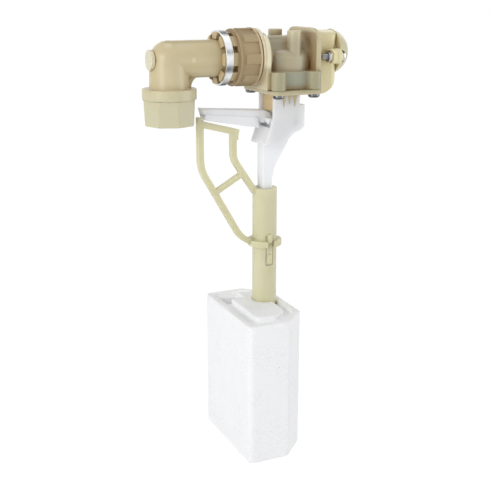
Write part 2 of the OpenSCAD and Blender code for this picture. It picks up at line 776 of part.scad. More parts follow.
module guide_bracket() {
    left = rod_x - bracket_left;
    right = rod_x + bracket_right;
    web_x = rod_x + rod_w / 2;
    groove_top = tooth_z + tooth_h + slide_gap;
    groove_h = tooth_h + float_travel + 2 * slide_gap;
    color(white) difference() {
        union() {
            for (y = [-1, 1])
                translate([0, y * (wall_in + wall_t / 2), 0]) upright(wall_t) difference() {
                    wall_outline();
                    wall_wedges(1.7, cover_z + eps, 3.2);
                }
            for (y = [-1, 1])
                translate([seat_x - pilot_left, y * (wall_in - 0.2) - 0.3, pilot_z + 1.9])
                    cube([pilot_l, 0.6, 1.2]);
            upright(2 * wall_in + 1) {
                polygon([[left, bracket_foot], [left + wall_t, bracket_foot],
                    [left + bracket_lean + wall_t, pivot_z - 4], [left + bracket_lean, pivot_z - 4]]);
                translate([left, bracket_foot]) square([pivot_x - 9 - left, wall_t]);
                translate([right - wall_t, pivot_z - 4]) square([wall_t, pilot_z + 4.8 - pivot_z + 4]);
                polygon([[pivot_x - 9, bracket_foot], [pivot_x - 2, pivot_z - 8.6], [right - 2, pivot_z - 6],
                    [right, pivot_z - 4], [right - wall_t, pivot_z - 3.6], [right - 3, pivot_z - 4.6],
                    [pivot_x - 3.4, pivot_z - floor_drop], [pivot_x - floor_reach, bracket_foot + wall_t]]);
            }
            upright(rod_d) {
                translate([rod_x - rod_w / 2, rod_end]) square([rod_w, bracket_foot + wall_t - rod_end]);
                polygon([[web_x - 1, bracket_foot - web_drop], [web_x, bracket_foot - web_drop],
                    [web_x + 1.8, bracket_foot - web_drop * 2 / 3], [pivot_x + 1.5, pivot_z - 8.2],
                    [pivot_x - 3, pivot_z - 8], [pivot_x - 10, bracket_foot + 1],
                    [web_x - 1, bracket_foot + 1]]);
            }
        }
        translate([pivot_x, wall_out - 0.8, pivot_z]) rotate([90, 0, 0])
            cylinder(r = pin_r + seat_gap, h = 2 * (wall_out - 0.8));
        translate([rod_x - 1.9, -rod_d / 2 - eps, groove_top - groove_h]) cube([3.8, 1.5 + eps, groove_h]);
    }
}

module lever_pin() {
    pin_half = wall_out - 0.8 - seat_gap;
    color(steel) translate([pivot_x, pin_half, pivot_z]) rotate([90, 0, 0])
        cylinder(r = pin_r, h = 2 * pin_half);
}

module lever_arm() {
    entry = rod_x - bracket_left;
    beam_low = lever_low + 2.4;
    push_z = plunger_foot - seat_gap;
    skirt_gap = 1.2;
    hub_half = wall_in - 0.6;
    hub_x = entry + bracket_lean + wall_t + 0.8;
    color(white) difference() {
        union() {
            upright(2 * lever_half) {
                polygon([[lever_tip, lever_top], [lever_tip + 1, lever_top - 3], [lever_tip + 2, beam_low],
                    [entry, pivot_z - 0.6], [pivot_x, pivot_z - lever_boss], [pivot_x, pivot_z + lever_boss],
                    [pilot_x + plunger_r, push_z], [pilot_x - plunger_r, push_z],
                    [seat_x - pilot_left - 1.2, pilot_z - 0.6], [entry + 2.5, pilot_z + 1.5]]);
                translate([pivot_x, pivot_z]) circle(r = lever_boss);
            }
            upright(2 * lever_half + 1.2)
                polygon([[lever_tip + 2, lever_low], [lever_tip + 2, beam_low + 1.6],
                    [entry - skirt_gap, pivot_z + 3.2], [entry - skirt_gap, pivot_z - 4.4]]);
            upright(2 * hub_half)
                polygon([[entry + wall_t + 1, pivot_z - 1.4], [hub_x, pivot_z - 1.4], [hub_x, pivot_z - 4.6],
                    [pivot_x - 1, pivot_z - lever_boss + 0.4],
                    [pivot_x + 1, pivot_z + 1], [pilot_x + plunger_r, push_z], [pilot_x - plunger_r, push_z],
                    [entry + wall_t + 1, push_z]]);
        }
        translate([pivot_x, hub_half + eps, pivot_z]) rotate([90, 0, 0])
            cylinder(r = pin_r + run_gap, h = 2 * hub_half + 2 * eps);
    }
}

// Centre line of the outer rail, from its top down and round into the collar
outer_top = lever_low - slide_gap;
outer_knee_drop = 24;
outer_knee = pivot_z - outer_knee_drop;
outer_fall = [rail_x, outer_knee] + rail_bend * [1 - cos(rail_turn), -sin(rail_turn)];
rail_dir = [sin(rail_turn), -cos(rail_turn)];
rail_run = ((collar_z - outer_fall[1]) - rail_sweep * (sin(rail_turn) - sin(80))) / rail_dir[1];
outer_end = outer_fall + rail_run * rail_dir;
outer_path = concat([[rail_x, outer_top]],
    arc_points([rail_x + rail_bend, outer_knee], rail_bend, rail_start, rail_start + rail_turn, 6),
    arc_points(on_circle(outer_end, rail_sweep, rail_turn), rail_sweep, rail_start + rail_turn, rail_stop, 8),
    [[rod_x - tube_r + 1, collar_z]]);

// Centre line of the inner rail, from the top bar down into the tube's top
inner_top = pivot_z - 7.5;
inner_knee_drop = 21;
inner_knee = pivot_z - inner_knee_drop;
inner_bend = 14;
inner_turn = rail_turn + 4;
inner_fall = [inner_x, inner_knee] + inner_bend * [1 - cos(inner_turn), -sin(inner_turn)];
inner_end = [rod_x - tube_r + 1.2, tube_top - 3.2];
inner_path = concat([[inner_x, inner_top]],
    arc_points([inner_x + inner_bend, inner_knee], inner_bend, rail_start, rail_start + inner_turn, 5),
    [inner_end]);

module carriage_frame() {
    bar_left = [rail_x, outer_top - rail_w / 2 - 0.4];
    bar_right = [inner_x + rail_w - 0.5, inner_top + 0.4];
    brace_top = inner_fall + brace_high_share * (inner_end - inner_fall);
    brace_low = outer_fall + brace_low_share * rail_run * rail_dir;
    upright(frame_t) {
        ribbon(outer_path, rail_w);
        ribbon(inner_path, rail_w);
        ribbon([bar_left, bar_right], rail_w);
        ribbon([brace_top, brace_low], rail_w - 0.8);
        translate([bar_right[0] - 2.2, bar_right[1] - 5]) square([1.8, 5]);
        translate([rail_x - rail_w / 2, outer_top - 4]) square([2.4, 6]);
    }
}

module carriage() {
    tongue_half = 2.3;
    slit = 0.5;
    tongue_low = tooth_z - 4;
    slit_d = tube_r - tube_bore + 3.5;
    tooth_y = -rod_d / 2 + 1.1;
    color(cream) difference() {
        union() {
            carriage_frame();
            translate([rod_x, 0, stem_step_z]) cylinder(r = tube_r, h = tube_top - stem_step_z);
            translate([rod_x, 0, stem_end]) cylinder(r = stem_r, h = stem_step_z - stem_end + 1);
            translate([rod_x, 0, collar_z - tube_collar_h / 2]) difference() {
                cylinder(r = tube_collar_r, h = tube_collar_h);
                translate([-tongue_half - slit, -tube_collar_r - eps, -eps])
                    cube([2 * (tongue_half + slit), tube_collar_r - tube_r + 0.4 + eps, 2 * tube_collar_h]);
            }
            translate([rod_x - 1.6, -tube_r - 1.4, collar_z + 1]) cube([3.2, 2.4, 6]);
            translate([rod_x - 1.6, -tube_r - 1, tooth_z - 2]) cube([3.2, 2, 6]);
        }
        difference() {
            translate([rod_x, 0, stem_end - eps])
                cylinder(r = tube_bore, h = tube_top - mouth_h - stem_end + eps);
            translate([rod_x - 1.4, -tube_bore - eps, tooth_z])
                cube([2.8, tooth_y + tube_bore + eps, tooth_h]);
        }
        translate([rod_x - rod_w / 2 - slide_gap, -rod_d / 2 - slide_gap, tube_top - mouth_h - eps])
            cube([rod_w + 2 * slide_gap, rod_d + 2 * slide_gap, mouth_h + 2 * eps]);
        for (x = [-1, 1])
            translate([rod_x + x * (tongue_half + slit / 2) - slit / 2, -tube_r - 2, tongue_low])
                cube([slit, slit_d, collar_z - tooth_z + 10]);
        translate([rod_x - tongue_half, -tube_r - 2, tongue_low]) cube([2 * tongue_half, slit_d, slit]);
    }
}

// Plan of the float, drawn in by a margin: right-hand corners cut off, left-hand corners round
module float_plan(margin) {
    x0 = rod_x - float_left + margin;
    x1 = rod_x - float_left + float_l - margin;
    y0 = margin - float_front;
    y1 = float_d - float_front - margin;
    cut = float_chamfer - margin * 0.6;
    polygon(concat(arc_points([x0 + float_edge, y0 + float_edge], float_edge, 180, 270, 5),
        [[x1 - cut, y0], [x1, y0 + cut], [x1, y1 - cut], [x1 - cut, y1]],
        arc_points([x0 + float_edge, y1 - float_edge], float_edge, 90, 180, 5)));
}

module float_block() {
    island = float_rim + float_groove;
    pocket = [12, 14, 9];
    pocket_gap = 4;
    color(foam) difference() {
        union() {
            translate([0, 0, float_low]) linear_extrude(height = float_h) float_plan(0);
            translate([0, 0, float_top - 1]) linear_extrude(height = 1 + island_rise) float_plan(island);
        }
        translate([0, 0, float_top - groove_depth]) linear_extrude(height = groove_depth + eps) difference() {
            float_plan(float_rim);
            float_plan(island);
        }
        translate([rod_x, 0, stem_step_z - seat_gap]) cylinder(r = tube_r + seat_gap, h = float_h);
        translate([rod_x, 0, float_low]) cylinder(r = stem_r + seat_gap, h = float_h);
        translate([rod_x, 0, float_low - eps]) cylinder(r = retainer_r + 0.4, h = retainer_recess + eps);
        translate([rod_x - tube_r - pocket[0] - pocket_gap, tube_r, float_top - pocket[2]])
            cube([pocket[0], pocket[1], pocket[2] + island_rise + eps]);
    }
}

module float_retainer() {
    color(cream) union() {
        translate([rod_x, 0, stem_end - retainer_t]) cylinder(r = retainer_r, h = retainer_t);
        translate([rod_x, 0, stem_end - 1]) cylinder(r = tube_bore - seat_gap, h = retainer_plug + 1);
    }
}

// Upright slab with round upright edges, an arched top and a half-round lower end, flat at the gasket
module tower() {
    low = pipe_z - tower_down;
    high = pipe_z + tower_up;
    arch_r = (tower_half * tower_half + tower_crown * tower_crown) / (2 * tower_crown);
    intersection() {
        upright(2 * tower_half) {
            translate([tower_x + tower_r - tower_heel, low + tower_heel]) circle(r = tower_heel);
            translate([tower_start, low + tower_heel])
                square([tower_x + tower_r - tower_start, high - low - tower_heel + 1]);
        }
        translate([tower_x, 0, low - eps])
            corner_plate(2 * tower_r, 2 * tower_half, tower_edge, high - low + 2);
        translate([tower_start, 0, high - arch_r]) rotate([0, 90, 0]) cylinder(r = arch_r, h = 3 * tower_r);
    }
}

module outlet_chamber() {
    cavity_r = tower_r - tower_wall;
    bowl_z = pipe_z - tower_down + tower_heel - 2;
    color(beige) difference() {
        union() {
            tower();
            along_pipe(tower_x) cylinder(r = tower_half - 0.8, h = cap_x - tower_x - 0.08);
            along_pipe(plate_end - 5) cylinder(r = outlet_r - seat_gap, h = 7);
            at_lugs(lug_x) cylinder(r = lug_r, h = lug_t);
            translate([lug_x, -lug_y, pipe_z - lug_r * 0.8]) cube([lug_t, 2 * lug_y, lug_r * 1.6]);
        }
        along_pipe(plate_end - 5 - eps) cylinder(r = outlet_r - 1.2, h = cap_x - plate_end + 5 + 2 * eps);
        translate([tower_x, 0, bowl_z])
            cylinder(r = cavity_r, h = pipe_z + tower_up - tower_crown - tower_wall - bowl_z);
        translate([tower_x, 0, bowl_z]) sphere(r = cavity_r - 0.03);
        along_pipe(cap_x - 1.7) ring(outlet_r + 2.6, outlet_r + 0.8, 1.7 + eps);
        at_lugs(lug_x - eps) cylinder(r = bolt_r + 0.2, h = lug_t + 2 * eps);
    }
}

module chamber_gasket() {
    color(rubber) along_pipe(plate_end) ring(tower_r + 1, outlet_r + 0.4, outlet_gasket_t);
}

// Domed outlet cap with two ears
module outlet_flange() {
    strap_in = tower_half + slide_gap;
    cap_back = sqrt(cap_curve * cap_curve - cap_r * cap_r);
    strap_t = lug_y - hex_flat / 2 / cos(30) - 0.6 - strap_in;
    color(beige) difference() {
        union() {
            translate([cap_x, 0, cap_z]) rotate([0, 90, 0]) rotate_extrude() intersection() {
                translate([0, -cap_back]) circle(r = cap_curve);
                square([cap_curve, cap_l]);
            }
            for (y = [0, 1]) mirror([0, y, 0])
                translate([ear_x, strap_in, pipe_z - 4]) cube([cap_x - ear_x + 1, strap_t, 8]);
            at_lugs(ear_x) cylinder(r = lug_r, h = lug_t);
            for (y = [0, 1]) mirror([0, y, 0])
                translate([ear_x, strap_in, pipe_z - lug_r * 0.8])
                    cube([lug_t, lug_y - strap_in, lug_r * 1.6]);
        }
        translate([cap_x - eps, 0, cap_z]) rotate([0, 90, 0]) cylinder(r = mouth_r, h = cap_l + 2 * eps);
        at_lugs(ear_x - eps) cylinder(r = bolt_r + 0.2, h = lug_t + 2 * eps);
    }
}

module outlet_oring() {
    color(rubber) along_pipe(cap_x - 0.1 - 0.75) oring(outlet_r + 1.7, 0.75);
}

module flange_bolts() {
    color(steel) at_lugs(ear_x + lug_t) union() {
        hexagon(hex_flat, hex_head_h);
        translate([0, 0, -bolt_l]) cylinder(r = bolt_r, h = bolt_l + 0.5);
    }
}

module flange_nuts() {
    color(steel) at_lugs(lug_x - hex_nut_h) difference() {
        hexagon(hex_flat, hex_nut_h);
        translate([0, 0, -eps]) cylinder(r = bolt_r + seat_gap, h = hex_nut_h + 2 * eps);
    }
}

inlet_elbow();
elbow_plug();
socket_gasket();
inlet_strainer();
spigot_oring();
union_nut();
clamp_band();
valve_body();
base_cover();
cover_screws();
diaphragm();
valve_disc();
disc_spring();
pilot_housing();
pilot_seat();
pilot_plunger();
plunger_seal();
guide_bracket();
lever_pin();
lever_arm();
carriage();
float_block();
float_retainer();
outlet_chamber();
chamber_gasket();
outlet_flange();
outlet_oring();
flange_bolts();
flange_nuts();
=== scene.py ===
import math

import bmesh
import bpy
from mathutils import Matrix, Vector


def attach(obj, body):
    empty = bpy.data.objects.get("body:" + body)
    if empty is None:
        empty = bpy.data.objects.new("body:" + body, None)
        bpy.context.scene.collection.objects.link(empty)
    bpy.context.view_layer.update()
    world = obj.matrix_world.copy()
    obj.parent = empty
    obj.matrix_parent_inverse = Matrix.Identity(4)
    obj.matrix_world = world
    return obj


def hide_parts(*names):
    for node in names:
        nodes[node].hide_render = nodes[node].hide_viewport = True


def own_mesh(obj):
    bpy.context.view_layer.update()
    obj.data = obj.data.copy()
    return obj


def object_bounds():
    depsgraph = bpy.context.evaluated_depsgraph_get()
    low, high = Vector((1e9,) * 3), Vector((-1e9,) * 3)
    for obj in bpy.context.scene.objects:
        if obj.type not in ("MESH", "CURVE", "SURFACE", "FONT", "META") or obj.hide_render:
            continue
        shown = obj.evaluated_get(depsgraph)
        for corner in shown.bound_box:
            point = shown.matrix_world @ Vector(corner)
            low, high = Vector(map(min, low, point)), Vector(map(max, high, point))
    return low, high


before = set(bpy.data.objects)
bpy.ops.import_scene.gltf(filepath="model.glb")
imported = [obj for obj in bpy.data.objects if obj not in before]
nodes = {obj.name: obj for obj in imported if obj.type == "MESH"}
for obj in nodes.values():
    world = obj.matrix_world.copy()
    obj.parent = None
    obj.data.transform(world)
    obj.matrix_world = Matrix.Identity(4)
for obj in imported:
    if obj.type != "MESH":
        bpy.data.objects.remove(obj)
cadBox = [list(corner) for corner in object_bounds()]
print("frame loaded with", len(nodes), "nodes")

mm = 0.001
weld = {"fine": 0.002 * mm, "usual": 0.004 * mm}  # points closer than this become one
endFacing = 0.9  # how squarely a face looks along Z to count as an end


# small helpers for working by operator
def clearSelection():
    if bpy.context.object and bpy.context.object.mode != "OBJECT":
        bpy.ops.object.mode_set(mode="OBJECT")
    bpy.ops.object.select_all(action="DESELECT")


def takeUp(piece):
    clearSelection()
    piece.select_set(True)
    bpy.context.view_layer.objects.active = piece


def editAll(piece):
    takeUp(piece)
    bpy.ops.object.mode_set(mode="EDIT")
    bpy.ops.mesh.select_all(action="SELECT")


def selectBy(piece, kind, wanted):
    # picks the faces, edges or points that wanted agrees to, in edit mode
    bpy.ops.mesh.select_mode(type=kind)
    bpy.ops.mesh.select_all(action="DESELECT")
    shape = bmesh.from_edit_mesh(piece.data)
    for element in {"FACE": shape.faces, "EDGE": shape.edges, "VERT": shape.verts}[kind]:
        element.select_set(bool(wanted(element)))
    shape.select_flush_mode()
    bmesh.update_edit_mesh(piece.data)


def selectEnd(piece, way):
    # the faces that look up (way 1) or down (way -1)
    selectBy(piece, "FACE", lambda face: face.normal.z * way > endFacing)


def leaveEdit():
    bpy.ops.object.mode_set(mode="OBJECT")


def applyModifier(piece, kind, **settings):
    takeUp(piece)
    modifier = piece.modifiers.new(kind.title(), kind)
    for key, value in settings.items():
        setattr(modifier, key, value)
    bpy.ops.object.modifier_apply(modifier=modifier.name)


def cutWith(piece, tool, operation="DIFFERENCE"):
    # a Boolean with a tool that is thrown away afterwards
    applyModifier(piece, "BOOLEAN", object=tool, operation=operation, solver="EXACT")
    bpy.data.objects.remove(tool, do_unlink=True)


def joinTo(piece, others):
    takeUp(piece)
    for other in others:
        other.select_set(True)
    bpy.ops.object.join()


def settle(piece):
    # the object goes back to the origin and its place into its mesh
    takeUp(piece)
    bpy.ops.object.transform_apply(location=True, rotation=True, scale=True)


def smooth(piece, angle):
    takeUp(piece)
    bpy.ops.object.shade_smooth_by_angle(angle=math.radians(angle))


def outward(piece):
    editAll(piece)
    bpy.ops.mesh.remove_doubles(threshold=weld["fine"])
    bpy.ops.mesh.normals_make_consistent(inside=False)
    leaveEdit()


def hand(piece, name, body, slot, material, *replaced):
    # gives a piece its name and finish, and tells the frame where it belongs
    piece.name = name
    piece.data.name = name
    piece.data.materials.clear()
    piece.data.materials.append(material)
    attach(piece, body)
    if replaced:
        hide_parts(*replaced)
    return piece


def srgb(red, green, blue):
    def channel(value):
        value = value / 255
        return value / 12.92 if value <= 0.04045 else ((value + 0.055) / 1.055) ** 2.4
    return (channel(red), channel(green), channel(blue), 1.0)


studio = {
    "lens": 66.86, "sensor": 36, "nearest": 0.01,
    "cameraPlace": (-0.2043, -0.5682, 0.0898),
    "cameraTurn": (74.0, 0.0, -24.5),
    "floorGap": 0.012,
    "floorCentre": 0.06, "floorSize": 6.0,
    "floorPaint": (0.92, 0.92, 0.92, 1), "floorRough": 0.9,
    "floorGlow": 0.93,  # share of the floor's look that is plain white
    "glowStrength": 1.06,
    "skyTint": (0.97, 0.98, 1.0, 1),
    "skyLight": 0.50,
    "flagCloth": (0.02, 0.02, 0.02, 1),
    "lamps": [  # name, place, aimed at, width, watts
        ("keyLamp", (-1.15, -0.60, 0.35), (0.06, 0.0, -0.05), 0.9, 8.6),
        ("fillLamp", (1.15, -0.68, 0.10), (0.06, 0.0, -0.10), 0.9, 4.6),
        ("rimLamp", (0.95, 0.75, 0.50), (0.06, 0.0, -0.05), 0.7, 1.6),
        ("topLamp", (0.05, 0.10, 1.20), (0.06, 0.0, 0.0), 0.8, 2.8),
    ],
    "flags": [  # dark cards that only bright metal and gloss can see: place, aimed at, width, height
        ((0.42, -0.75, 0.42), (0.06, 0.0, 0.03), 0.44, 0.24),
        ((-0.62, -0.42, -0.22), (0.05, 0.0, 0.03), 0.30, 0.20),
        ((0.09, -0.24, -0.18), (0.085, 0.0, 0.02), 0.34, 0.16),
        ((0.36, 0.45, 0.62), (0.04, 0.0, 0.05), 0.70, 0.40),
        ((0.55, 0.55, 0.02), (0.08, 0.0, 0.03), 0.28, 0.34),
        ((0.17, 0.24, -0.15), (0.04, 0.0, 0.03), 0.30, 0.18),
    ],
}


def whiteToTheEye(tree, lit, output):
    # white for what the camera, gloss and glass see, and plain light for the rest
    path = tree.nodes.new("ShaderNodeLightPath")
    sight = maths(tree, "MAXIMUM", path.outputs["Is Camera Ray"], path.outputs["Is Glossy Ray"])
    sight = maths(tree, "MAXIMUM", sight, path.outputs["Is Transmission Ray"])
    mix = tree.nodes.new("ShaderNodeMixShader")
    tree.links.new(sight, mix.inputs[0])
    tree.links.new(lit, mix.inputs[1])
    tree.links.new(mix.outputs[0], output)
    return mix.inputs[2]


def aim(place, target):
    return (Vector(target) - Vector(place)).to_track_quat("-Z", "Y").to_euler()


def makeStudio():
    scene = bpy.context.scene
    scene.view_settings.view_transform = "Standard"
    clearSelection()
    bpy.ops.object.camera_add(location=studio["cameraPlace"],
                              rotation=[math.radians(a) for a in studio["cameraTurn"]])
    camera = bpy.context.object
    camera.name = "photoCamera"
    camera.data.lens = studio["lens"]
    camera.data.sensor_width = studio["sensor"]
    camera.data.clip_start = studio["nearest"]
    scene.camera = camera
    for name, place, target, width, watts in studio["lamps"]:
        bpy.ops.object.light_add(type="AREA", location=place, rotation=aim(place, target))
        lamp = bpy.context.object
        lamp.name = name
        lamp.data.shape = "DISK"
        lamp.data.size = width
        lamp.data.energy = watts
    world = bpy.data.worlds.new("studioWorld")
    world.use_nodes = True
    scene.world = world
    tree = world.node_tree
    sky = tree.nodes["Background"]
    sky.inputs["Color"].default_value = studio["skyTint"]
    sky.inputs["Strength"].default_value = studio["skyLight"]
    white = tree.nodes.new("ShaderNodeBackground")
    white.inputs["Color"].default_value = (1, 1, 1, 1)
    white.inputs["Strength"].default_value = 1.0
    tree.links.new(white.outputs[0], whiteToTheEye(tree, sky.outputs[0], tree.nodes["World Output"].inputs[0]))
    # floor, just under the float at the bottom of its stroke
    floorHeight = cadBox[0][2] - studio["floorGap"]
    bpy.ops.mesh.primitive_plane_add(size=studio["floorSize"], location=(studio["floorCentre"], 0, floorHeight))
    floor = bpy.context.object
    floor.name = "paleFloor"
    material = bpy.data.materials.new("paleFloorPaint")
    material.use_nodes = True
    tree = material.node_tree
    paint = tree.nodes["Principled BSDF"]
    paint.inputs["Base Color"].default_value = studio["floorPaint"]
    paint.inputs["Roughness"].default_value = studio["floorRough"]
    glow = tree.nodes.new("ShaderNodeEmission")
    glow.inputs["Strength"].default_value = studio["glowStrength"]
    # mostly glow for the eye, so that the shadow stays but is faint
    blend = tree.nodes.new("ShaderNodeMixShader")
    blend.inputs[0].default_value = studio["floorGlow"]
    tree.links.new(paint.outputs[0], blend.inputs[1])
    tree.links.new(glow.outputs[0], blend.inputs[2])
    tree.links.new(blend.outputs[0],
                   whiteToTheEye(tree, paint.outputs[0], tree.nodes["Material Output"].inputs[0]))
    floor.data.materials.append(material)
    black = bpy.data.materials.new("flagCloth")
    black.use_nodes = True
    cloth = black.node_tree.nodes["Principled BSDF"]
    cloth.inputs["Base Color"].default_value = studio["flagCloth"]
    cloth.inputs["Roughness"].default_value = 1.0
    for count, (place, target, width, height) in enumerate(studio["flags"]):
        bpy.ops.mesh.primitive_plane_add(size=1, location=place, rotation=aim(place, target))
        flag = bpy.context.object
        flag.name = "darkFlag%d" % count
        flag.scale = (width, height, 1)
        flag.visible_camera = False
        flag.visible_diffuse = False
        flag.visible_shadow = False
        flag.visible_transmission = False
        flag.data.materials.append(black)
    print("studio set up")


def startFinish(name):
    material = bpy.data.materials.new(name)
    material.use_nodes = True
    tree = material.node_tree
    return material, tree, tree.nodes["Principled BSDF"]


def objectPlace(tree, scale=(1, 1, 1)):
    place = tree.nodes.new("ShaderNodeTexCoord")
    mapping = tree.nodes.new("ShaderNodeMapping")
    mapping.inputs["Scale"].default_value = scale
    tree.links.new(place.outputs["Object"], mapping.inputs["Vector"])
    return mapping.outputs["Vector"]


def noise(tree, vector, scale, detail=2.0, rough=0.5):
    node = tree.nodes.new("ShaderNodeTexNoise")
    node.inputs["Scale"].default_value = scale
    node.inputs["Detail"].default_value = detail
    node.inputs["Roughness"].default_value = rough
    tree.links.new(vector, node.inputs["Vector"])
    return node.outputs["Fac"]


def ramp(tree, factor, stops):
    node = tree.nodes.new("ShaderNodeValToRGB")
    for element, (place, colour) in zip(node.color_ramp.elements, stops):
        element.position = place
        element.color = colour
    tree.links.new(factor, node.inputs["Fac"])
    return node.outputs["Color"]


def mapRange(tree, value, low, high, toLow, toHigh):
    node = tree.nodes.new("ShaderNodeMapRange")
    node.inputs["From Min"].default_value = low
    node.inputs["From Max"].default_value = high
    node.inputs["To Min"].default_value = toLow
    node.inputs["To Max"].default_value = toHigh
    tree.links.new(value, node.inputs["Value"])
    return node.outputs["Result"]


def mixColour(tree, factor, first, second):
    node = tree.nodes.new("ShaderNodeMix")
    node.data_type = "RGBA"
    tree.links.new(factor, node.inputs["Factor"])
    for socket, value in ((node.inputs[6], first), (node.inputs[7], second)):
        if isinstance(value, tuple):
            socket.default_value = value
        else:
            tree.links.new(value, socket)
    return node.outputs[2]


def maths(tree, operation, first, second):
    node = tree.nodes.new("ShaderNodeMath")
    node.operation = operation
    for socket, value in ((node.inputs[0], first), (node.inputs[1], second)):
        if isinstance(value, (int, float)):
            socket.default_value = value
        else:
            tree.links.new(value, socket)
    return node.outputs[0]


def times(tree, first, second):
    return maths(tree, "MULTIPLY", first, second)


def bump(tree, shader, height, strength, distance):
    node = tree.nodes.new("ShaderNodeBump")
    node.inputs["Strength"].default_value = strength
    node.inputs["Distance"].default_value = distance
    tree.links.new(height, node.inputs["Height"])
    tree.links.new(node.outputs["Normal"], shader.inputs["Normal"])


cornerShadeSense = {"samples": 8, "shut": 0.35, "open": 0.9}


def cornerShadeMask(tree, reach):
    # 1 in tight corners, 0 in the open: the mask for painted shade
    node = tree.nodes.new("ShaderNodeAmbientOcclusion")
    node.inputs["Distance"].default_value = reach
    node.samples = cornerShadeSense["samples"]
    return mapRange(tree, node.outputs["AO"], cornerShadeSense["shut"], cornerShadeSense["open"], 1.0, 0.0)


def axisOf(tree, axis):
    split = tree.nodes.new("ShaderNodeSeparateXYZ")
    tree.links.new(objectPlace(tree), split.inputs[0])
    return split.outputs[axis]


def softBox(tree, box):
    # 1 inside a box of the object's own space, fading out over the given distance about its faces
    low, high, fade = box
    inside = None
    for axis in range(3):
        place = axisOf(tree, axis)
        rise = mapRange(tree, place, low[axis] - fade, low[axis] + fade, 0.0, 1.0)
        fall = mapRange(tree, place, high[axis] - fade, high[axis] + fade, 1.0, 0.0)
        both = times(tree, rise, fall)
        inside = both if inside is None else times(tree, inside, both)
    return inside


moulded = {  # what all the moulded plastics share
    "cloudDetail": 3.0, "cloudSpan": (0.3, 0.7), "flowDetail": 4.0, "flowRough": 0.6, "flowSpan": (0.3, 0.7),
    "lineWidth": (0.00004, 0.00014), "lineRise": 0.35, "bump": 0.8, "bumpReach": 0.0002, "refraction": 1.5,
}


def twoTone(tree, factor, look, span):
    return ramp(tree, factor, zip(span, (srgb(*look["tone"]), srgb(*look["toneTwo"]))))


def mouldedFinish(name, look):
    # dyed moulded plastic: cloudy tone, painted shade in corners, painted light and shade in listed boxes, flow grain,
    # parting line and a soft sheen
    material, tree, shader = startFinish(name)
    cloud = noise(tree, objectPlace(tree), look["cloudScale"], moulded["cloudDetail"])
    tone = twoTone(tree, cloud, look, moulded["cloudSpan"])
    for axis, low, high, colour in look.get("fades", []):
        tone = mixColour(tree, mapRange(tree, axisOf(tree, axis), low, high, 0.0, 1.0), tone, srgb(*colour))
    # patches paint light and shade into the tone, each inside a soft box
    for box, colour, share in look.get("patches", []):
        tone = mixColour(tree, times(tree, softBox(tree, box), share), tone, srgb(*colour))
    # painted shade: in tight corners the tone turns towards the look's corner tone
    corner = times(tree, cornerShadeMask(tree, look["cornerShadeReach"]), look["cornerShadeShare"])
    tone = mixColour(tree, corner, tone, srgb(*look["corner"]))
    tree.links.new(tone, shader.inputs["Base Color"])
    flow = noise(tree, objectPlace(tree, look.get("flow", (1, 1, 1))), look["grainScale"],
                 moulded["flowDetail"], moulded["flowRough"])
    tree.links.new(mapRange(tree, flow, *moulded["flowSpan"], *look["gloss"]), shader.inputs["Roughness"])
    height = times(tree, flow, look["grain"])
    if "partingAxis" in look:  # hairline where the mould's halves met
        offset = maths(tree, "SUBTRACT", axisOf(tree, look["partingAxis"]), look["partingAt"])
        offset = maths(tree, "ABSOLUTE", offset, 0)
        line = mapRange(tree, offset, *moulded["lineWidth"], moulded["lineRise"], 0.0)
        height = maths(tree, "ADD", height, line)
    bump(tree, shader, height, moulded["bump"], moulded["bumpReach"])
    shader.inputs["Subsurface Weight"].default_value = look["glow"]
    shader.inputs["Subsurface Radius"].default_value = look["glowReach"]
    shader.inputs["Subsurface Scale"].default_value = 1.0
    shader.inputs["IOR"].default_value = moulded["refraction"]
    return material


# fades are axis, from, to and the tone there; patches are low corner, high corner and fade, then tone and share; the
# corner tone, with its reach and share, is painted shade in corners
elbowLook = {
    "tone": (208, 195, 158), "toneTwo": (200, 185, 145), "corner": (176, 142, 92),
    "cloudScale": 45.0, "cornerShadeReach": 0.007, "cornerShadeShare": 0.5,
    "fades": [(2, 0.031, 0.012, (204, 199, 166))],
    # a lighter spot on the pipe's front: painted highlight on the gate nub
    "patches": [(((0.0118, -0.0130, 0.0411), (0.0142, -0.0110, 0.0439), 0.0006), (224, 214, 184), 0.6)],
    "partingAxis": 1, "partingAt": 0.0,
    "grainScale": 900.0, "gloss": (0.26, 0.36), "grain": 0.05,
    "glow": 0.15, "glowReach": (0.005, 0.0035, 0.0018),
}
bodyLook = dict(elbowLook, tone=(208, 198, 166), toneTwo=(198, 187, 152), corner=(152, 116, 66), cornerShadeShare=0.6,
                fades=[], patches=[
                    # painted shade, greener, over the front block
                    (((0.064, -0.0290, 0.0200), (0.1010, -0.0150, 0.0345), 0.0020), (154, 151, 120), 0.8),
                    # painted shade, lighter and greener, on the panel between the bosses
                    (((0.071, -0.0230, 0.0240), (0.0945, -0.0195, 0.0330), 0.0012), (172, 176, 156), 0.85),
                    # painted shade over the domed top of the body
                    (((0.066, -0.0200, 0.0300), (0.0960, 0.0200, 0.0560), 0.0040), (132, 124, 105), 0.65),
                    # painted light on the ring at the body's left end, beside the union nut
                    (((0.0592, -0.0300, 0.0370), (0.0660, 0.0300, 0.0700), 0.0015), (238, 229, 198), 0.85),
                    # painted shade on the left face of the end plate
                    (((0.0955, -0.0225, 0.0290), (0.0982, 0.0225, 0.0590), 0.0008), (160, 138, 100), 0.8),
                ])
outletLook = dict(elbowLook, tone=(232, 221, 177), toneTwo=(226, 214, 169), corner=(200, 172, 112), cornerShadeShare=0.3,
                  patches=[], fades=[(0, 0.1196, 0.1200, (205, 197, 160))])
plugLook = dict(elbowLook, tone=(224, 217, 190), toneTwo=(218, 210, 180), fades=[], patches=[])
